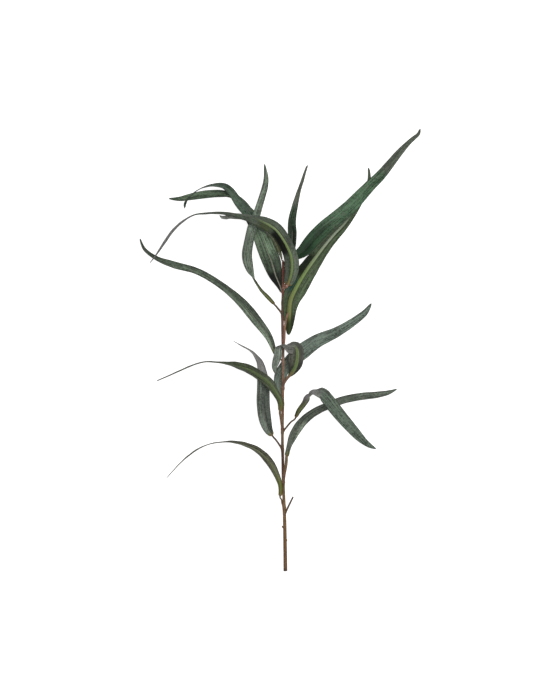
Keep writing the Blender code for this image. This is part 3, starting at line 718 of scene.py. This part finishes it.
class Finish:
    """A material, put together node by node round a Principled shader."""

    def __init__(self, name):
        self.material = bpy.data.materials.new(name)
        self.material.use_nodes = True
        self.tree = self.material.node_tree
        self.shader = self.tree.nodes["Principled BSDF"]

    def add(self, kind, settings, sockets, output=0):
        """A node of a kind: its settings first, then a value or a wire for each socket."""
        node = self.tree.nodes.new("ShaderNode" + kind)
        for key, value in settings.items():
            if key == "stops":
                self.set_stops(node.color_ramp, value)
            else:
                setattr(node, key, value)
        for key, value in sockets.items():
            self.join(node.inputs[key], value)
        return Wire(self, node.outputs[output])

    def set_stops(self, band, stops):
        """Gives a ramp its stops: places from 0 to 1, each with a red, green and blue."""
        while len(band.elements) < len(stops):
            band.elements.new(1.0)
        for element, (place, tint) in zip(band.elements, stops):
            element.position = place
            element.color = colour(tint)

    def join(self, socket, value):
        """A wire is linked to the socket, and anything else becomes the socket's own value."""
        if isinstance(value, Wire):
            self.tree.links.new(value.socket, socket)
        else:
            socket.default_value = value

    def maths(self, operation, *values):
        """A Math node on one or two numbers."""
        return self.add("Math", {"operation": operation}, dict(enumerate(values)))

    def clamp(self, value):
        """The value, kept between 0 and 1."""
        return self.add("Clamp", {}, {"Value": value})

    def rise(self, value, low, high):
        """0 below low, 1 above high, and a smooth step between them."""
        settings = {"interpolation_type": "SMOOTHSTEP"}
        return self.add("MapRange", settings, {"Value": value, "From Min": low, "From Max": high})

    def fall(self, value, low, high):
        """1 below low, 0 above high, and a smooth step between them."""
        return 1.0 - self.rise(value, low, high)

    def mark(self, name):
        """A mark that the piece's vertices carry."""
        return self.add("Attribute", {"attribute_name": name}, {}, "Fac")

    def place(self):
        """The place on the piece, in metres."""
        return self.add("TexCoord", {}, {}, "Object")

    def noise(self, place, scale, detail=3.0, roughness=0.5):
        """Cloudy noise from 0 to 1."""
        sockets = {"Vector": place, "Scale": scale, "Detail": detail, "Roughness": roughness}
        return self.add("TexNoise", {}, sockets, "Fac")

    def mix(self, factor, first, second):
        """The first colour where the factor is 0 and the second where it is 1."""
        settings = {"data_type": "RGBA", "clamp_factor": True}
        return self.add("Mix", settings, {0: factor, 6: colour(first), 7: colour(second)}, 2)

    def coat(self, skin, where, coat):
        """The skin with a coat over it, where the mask is 1."""
        strength, tint = coat
        return self.mix(where * strength, skin, tint)

    def mottled(self, tone, tint, tones):
        """The colour times the first of two factors where the tone is 0, and the second at 1."""
        darkest, lightest = tones
        return self.mix(tone, shade(tint, darkest), shade(tint, lightest))

    def scale(self, tint, factor):
        """The colour made lighter or darker by the factor."""
        settings = {"operation": "SCALE"}
        return self.add("VectorMath", settings, {0: tint, "Scale": factor})

    def relief(self, height, strength, distance):
        """The normal of a surface with this relief."""
        return self.add("Bump", {}, {"Height": height, "Strength": strength, "Distance": distance})

    def close(self, **sockets):
        """Sets the shader's sockets, named with underscores for spaces, and gives the material."""
        for key, value in sockets.items():
            self.join(self.shader.inputs[key.replace("_", " ")], value)
        return self.material


def colour(value):
    """A wire as it is, and a red, green and blue with full opacity."""
    return value if isinstance(value, Wire) else (*value, 1.0)


def shade(value, factor):
    """A red, green and blue made darker or lighter."""
    return tuple(factor * part for part in value)


class LeafFinish(Finish):
    """A leaf's material. Each coat takes the skin so far and gives it back with more on it."""

    def __init__(self, name):
        super().__init__(name)
        self.side = self.mark("across")
        self.across = abs(self.side)
        self.reach = self.mark("reach")
        self.far = abs(self.reach)
        self.travelled = self.mark("travelled")
        self.along = self.mark("along")
        self.beneath = self.clamp(self.mark("under"))
        self.spot = self.place()
        self.noises = {
            "streaks": self.drawn_out(0.75, 0.020, self.beneath * 7.0, 3.0, 0.6),
            "broad": self.drawn_out(0.20, 0.014, self.beneath * 3.0 + 5.0),
            "speckle": self.noise(self.spot, 330.0, 3.0, 0.6),
            "grain": self.noise(self.spot, 800.0, 2.0, 0.6),
            "clouds": self.noise(self.spot, 55.0, 2.0),
        }
        tone = sum((self.noises[kind] - 0.5) * share for kind, share in MOTTLING.items())
        self.tone = self.clamp(tone + 0.5)
        self.veins = self.vein_lines()

    def drawn_out(self, across, along, layer, detail=1.0, roughness=0.5):
        """Noise in lengthwise streaks, by how fast it changes across and along, per millimetre."""
        sockets = {"X": self.reach * across, "Y": self.travelled * along, "Z": layer}
        return self.noise(self.add("CombineXYZ", {}, sockets), 1.0, detail, roughness)

    def vein_lines(self):
        """Side veins, where the fraction of (travelled - slant * far + wander) / spacing is a half,
        and a vein inside the margin."""
        wander = self.drawn_out(0.2, 0.08, self.beneath * 5.0)
        slant = self.travelled - self.far * VEIN_SLANT + wander * VEIN_WANDER
        ridge = abs((slant / VEIN_SPACING).fraction() - 0.5)
        side_veins = self.fall(ridge, 0.0, 0.20) * (1.0 - self.across * 0.4)
        margin_vein = self.fall(abs(self.across - MARGIN_VEIN), 0.0, 0.04)
        return self.clamp(side_veins + margin_vein * 0.7)

    def ground(self, upper, under, flush_and_shadow, flush_and_shadow_reach):
        """The mottled green of each face, rosy clouds, the veins, and the flush at the base, which
        on some leaves is a painted shadow.
        """
        above = self.mottled(self.tone, upper, UPPER_TONES)
        below = self.mottled(self.tone, under, UNDER_TONES)
        skin = self.mix(self.beneath, above, below)
        rosy = self.rise(self.noise(self.spot, 210.0, 2.0), 0.50, 0.66)
        skin = self.coat(skin, rosy, ROSY)
        skin = self.coat(skin, self.veins, (VEIN_STRENGTH, shade(upper, VEIN_LIGHTNESS)))
        # the flush at the base; on leaves 10 and 14 its colour is a painted shadow
        base = self.fall(self.travelled, flush_and_shadow_reach * 0.3, flush_and_shadow_reach)
        return self.coat(skin, base, (COAT_STRENGTH, flush_and_shadow))

    def stretch(self, skin, part, start, end, change):
        """A stretch of the blade: a factor darkens it with painted shade or lightens it with
        painted light, and a colour is laid over it.
        """
        inside = self.rise(self.travelled, start - STRETCH_FADE, start + STRETCH_FADE)
        inside = inside * self.fall(self.travelled, end - STRETCH_FADE, end + STRETCH_FADE)
        if part == MIDDLE:
            inside = inside * self.fall(self.across, 0.18, 0.42)
        elif part:
            inside = inside * self.rise(self.side * part, -0.02, 0.16)
        if isinstance(change, tuple):
            return self.coat(skin, inside, (COAT_STRENGTH, self.mottled(self.tone, change, PATCH_TONES)))
        # painted light and shade: a factor above 1 lightens the stretch, and one below 1 darkens it
        return self.scale(skin, 1.0 + inside * (change - 1.0))

    def dark_margin(self, skin):
        """A thin dark line along each margin."""
        return self.coat(skin, self.fall(self.mark("margin"), 0.3, 1.7), MARGIN)

    def rib(self, skin, seat, clearness, rib_end, paleness):
        """The rib beneath: a light band between two dark lines, which fades where it ends. It is
        brown at first on a blade seated by its base, and dark and then yellow on the other."""
        shown = self.fall(self.along, rib_end * 0.7, rib_end) * self.beneath * clearness
        line = abs(self.mark("rib"))
        band = self.fall(line, 0.74, 1.04)
        beside = self.fall(line, 1.05, 1.75) * (1.0 - band)
        turned = self.rise(self.along, rib_end * 0.35, rib_end * 0.7)
        green = self.mix(self.noises["speckle"], RIB_GREEN, RIB_LIGHT)
        tint = self.mix(turned * paleness, green, RIB_PALE)
        if seat == "base":
            tint = self.mix(self.rise(self.travelled, 2.0, 16.0), RIB_BROWN, tint)
        else:
            tint = self.mix(self.rise(self.travelled, 40.0, 85.0), RIB_YELLOW, tint)
            tint = self.mix(self.rise(self.travelled, 16.0, 34.0), RIB_DARK, tint)
        skin = self.coat(skin, beside * shown, RIB_SHADOW)
        return self.mix(band * shown, skin, tint)

    def hair_line(self, skin, half, clearness):
        """A pale hair line in the groove above, which fades along the blade."""
        hair = self.fall(self.far, half * 0.4, half) * self.fall(self.along, 0.10, 0.38)
        return self.mix(hair * (1.0 - self.beneath) * clearness, skin, HAIR_LINE)

    def joint(self, skin):
        """The brown joint where the blade grows from its petiole."""
        return self.coat(skin, self.fall(self.travelled, 0.5, 4.0), JOINT)


def leaf_finish(name, leaf):
    """A leaf: mottled, streaked and veined greens, stretches of painted light and shade, patches of
    colour, dark margins, a rib beneath, a hair line above, and a brown joint at the base."""
    blade = LeafFinish(name)
    skin = blade.ground(leaf["upper"], leaf["under"], *leaf["flush_and_shadow"])
    for part, start, end, change in leaf["stretches"]:
        skin = blade.stretch(skin, part, start, end, change)
    skin = blade.dark_margin(skin)
    skin = blade.rib(skin, leaf["seat"], *leaf["rib"][1:])
    skin = blade.hair_line(skin, *leaf["line"])
    if leaf["seat"] == "base":
        skin = blade.joint(skin)
    streaks, _, speckle, grain, clouds = blade.noises.values()
    height = blade.veins * 0.5 + streaks * 0.9 + speckle * 0.5 + grain * 0.3
    fine = blade.relief(height, 0.5, 0.0005)
    shine = 0.50 + clouds * 0.10 + (speckle - 0.5) * 0.25
    return blade.close(Base_Color=skin, Roughness=shine, Normal=fine, Specular_IOR_Level=0.10)


def bark_finish(name):
    """The woody stem and petioles. The bark's colour changes with the height up the stem, with a
    painted shadow low on it, lengthwise grain, dark blotches and pale flecks, and the petioles have
    their own colours."""
    bark = Finish(name)
    place = bark.place()
    height = bark.add("SeparateXYZ", {}, {"Vector": place}, "Y")
    stretched = bark.add("Mapping", {}, {"Vector": place, "Scale": (800.0, 120.0, 800.0)})
    grain = bark.noise(stretched, 1.0, 4.0, 0.6)
    clouds = bark.noise(place, 90.0, 3.0)
    blotches = bark.rise(bark.noise(place, 260.0, 2.0, 0.6), 0.50, 0.64)
    flecks = bark.rise(bark.noise(place, 520.0, 2.0), 0.60, 0.72)

    low, high = BARK_SPAN
    stops = [((level - low) / (high - low), tint) for level, tint in BARK_AND_SHADOW]
    level = (height / MM - low) / (high - low)
    # the stops hold a painted shadow at -180 and -160 mm, under leaf 2's petiole
    skin = bark.add("ValToRGB", {"stops": stops}, {"Fac": level}, "Color")
    stalk = bark.mix(bark.rise(bark.mark("along"), 0.1, 0.9), STALK_BROWN, STALK_END)
    stalk = bark.mix(bark.mark("blush"), stalk, STALK_PINK)
    stalk = bark.mix(bark.mark("dusk"), stalk, STALK_DARK)
    skin = bark.mix(bark.mark("petiole"), skin, stalk)
    skin = bark.coat(skin, bark.rise(grain, 0.42, 0.70), BARK_GRAIN)
    skin = bark.coat(skin, blotches, BARK_BLOTCH)
    skin = bark.coat(skin, flecks, BARK_FLECK)
    skin = bark.mix(bark.mark("cut"), skin, bark.mix(clouds, CUT_LIGHT, CUT_DARK))
    fine = bark.relief(grain + flecks * 0.4 - blotches * 0.3, 0.5, 0.0004)
    shine = 0.48 + clouds * 0.22
    return bark.close(Base_Color=skin, Roughness=shine, Normal=fine, Specular_IOR_Level=0.25)


def bark_relief(distance, angle):
    """Low lengthwise ridges: a sum of waves that run along the stem and wander round it, with fine
    rings that come and go."""
    ridges = np.sin(7.0 * angle + distance / 9.0) + 0.7 * np.sin(11.0 * angle - distance / 14.0)
    rings = np.sin(distance / 2.3 + 1.2 * np.sin(3.0 * angle)) * np.sin(distance / 17.0) ** 4
    return BARK_RELIEF * (0.45 * ridges + 0.8 * rings)


def tube_marks(rows, petiole, blush=0.0, dusk=0.0):
    """The marks of a tube's vertices: how much petiole it is, how pink, how dark, where it is cut,
    which is nowhere yet, and how far along it they lie."""
    values = {"petiole": petiole, "blush": blush, "dusk": dusk, "cut": 0.0}
    marks = {key: np.full(rows.shape[:2], value) for key, value in values.items()}
    marks["along"] = marks["cut"] + np.linspace(0.0, 1.0, len(rows))[:, None]
    return marks


def stem_skin():
    """The stem's tube. It swells at each petiole by NODE_SWELLING * exp(-(gap / NODE_REACH)^2), its
    cut end is flat, closed by rings inside the rim, and its top end is rounded."""
    route = smooth_route(STEM_ROUTE, STEM_ROW)
    starts = np.array([leaf["petiole"][0][1] for leaf in LEAVES.values()])
    gaps = route[:, 1:2] - starts[None, :]
    swelling = np.clip(bell(gaps / NODE_REACH).sum(axis=1), 0.0, 1.0)
    distance = travel(route[:, :3])
    radii = route[:, 3] + NODE_SWELLING * swelling
    radii = radii * rounded(distance[-1] - distance, STEM_TOP_ROUND)
    rows = tube_skin(route[:, :3], radii, STEM_SIDES, bark_relief)
    rim = rows[:1]
    centre = rim.mean(axis=1, keepdims=True)
    rings = centre + (rim - centre) * np.array(CUT_RINGS)[:, None, None]
    rows = np.concatenate([rings, rows])
    marks = tube_marks(rows, 0.0)
    marks["cut"][:len(CUT_RINGS)] = 1.0
    return rows, marks


def petiole_route(leaf):
    """A petiole's points, from inside the stem to its blade. Where it is seated at the blade's base
    it comes in line with the blade and runs on a little inside it."""
    if leaf["seat"] != "base":
        return smooth_route(leaf["petiole"], PETIOLE_ROW)
    blade = smooth_route(leaf["route"], BLADE_ROW)[:, :3]
    forward = unit(blade[1] - blade[0])
    lead = blade[0] - PETIOLE_LEAD * forward
    inside = blade[0] + PETIOLE_INSET * forward
    return smooth_route([*leaf["petiole"], lead, inside], PETIOLE_ROW)


def petiole_skin(leaf):
    """A petiole's tube, flared where it leaves the stem: radius + flare * exp(-(distance from where
    it comes out / reach)^2)."""
    points = petiole_route(leaf)
    distance = travel(points)
    first, last = leaf["radii"]
    radii = first + (last - first) * distance / distance[-1]
    radii = radii + PETIOLE_FLARE * bell(np.maximum(distance - FLARE_START, 0.0) / FLARE_REACH)
    rows = tube_skin(points, radii, PETIOLE_SIDES)
    return rows, tube_marks(rows, 1.0, *leaf["stalk"])


def stub_skin(stub):
    """A short bare tube that narrows evenly."""
    route = smooth_route(stub["route"], PETIOLE_ROW)
    radii = np.linspace(*stub["radii"], len(route))
    radii[-1] *= STUB_END
    rows = tube_skin(route, radii, PETIOLE_SIDES)
    marks = tube_marks(rows, 0.85, stub["blush"], stub["dusk"])
    marks["cut"][-1:] = stub["cut"]
    return rows, marks


def make_stem():
    """The stem with its petioles, twig, bud and scars as one piece."""
    skins = [stem_skin()]
    skins += [petiole_skin(leaf) for leaf in LEAVES.values()]
    skins += [stub_skin(stub) for stub in STUBS]
    make_piece("stem_bark", skins, bark_finish("stem_bark"), "stem")


def make_leaves():
    """The sixteen leaves, each in its own finish."""
    for name, leaf in LEAVES.items():
        finish = leaf_finish(name + "_finish", leaf)
        make_piece(name + "_blade", [blade_skin(leaf)], finish, name)


def make_floor():
    """A plain pale floor that glows a little, so that shadows stay faint."""
    signs = [(-1, -1), (1, -1), (1, 1), (-1, 1)]
    corners = [(x * FLOOR_HALF, y * FLOOR_HALF, 0.0) for x, y in signs]
    mesh = bpy.data.meshes.new("floor")
    mesh.from_pydata(corners, [], [(0, 1, 2, 3)])
    paper = Finish("floor_paper")
    mesh.materials.append(paper.close(
        Base_Color=colour(FLOOR_GREY), Roughness=0.9, Specular_IOR_Level=0.0,
        Emission_Color=colour(WHITE), Emission_Strength=FLOOR_GLOW))
    floor = bpy.data.objects.new("floor", mesh)
    bpy.context.scene.collection.objects.link(floor)


def make_lamp(name, place, size, power):
    """A square soft light at the place, turned to the middle of the branch."""
    data = bpy.data.lights.new(name, "AREA")
    data.size = size
    data.energy = power
    lamp = bpy.data.objects.new(name, data)
    bpy.context.scene.collection.objects.link(lamp)
    lamp.location = place
    lamp.rotation_mode = "QUATERNION"
    lamp.rotation_quaternion = Vector(place).to_track_quat("Z", "Y")


def make_studio():
    """The camera straight above the branch, two soft lamps, and light from all round."""
    scene = bpy.context.scene
    data = bpy.data.cameras.new("camera")
    data.lens = CAMERA_LENS
    data.sensor_width = CAMERA_SENSOR
    camera = bpy.data.objects.new("camera", data)
    scene.collection.objects.link(camera)
    camera.location = CAMERA_PLACE
    scene.camera = camera
    for name, lamp in LAMPS.items():
        make_lamp(name, **lamp)
    world = bpy.data.worlds.new("studio")
    world.use_nodes = True
    background = world.node_tree.nodes["Background"]
    background.inputs["Color"].default_value = colour(WHITE)
    background.inputs["Strength"].default_value = WORLD_LIGHT
    scene.world = world
    scene.view_settings.view_transform = "Standard"


make_studio()
make_floor()
make_stem()
make_leaves()
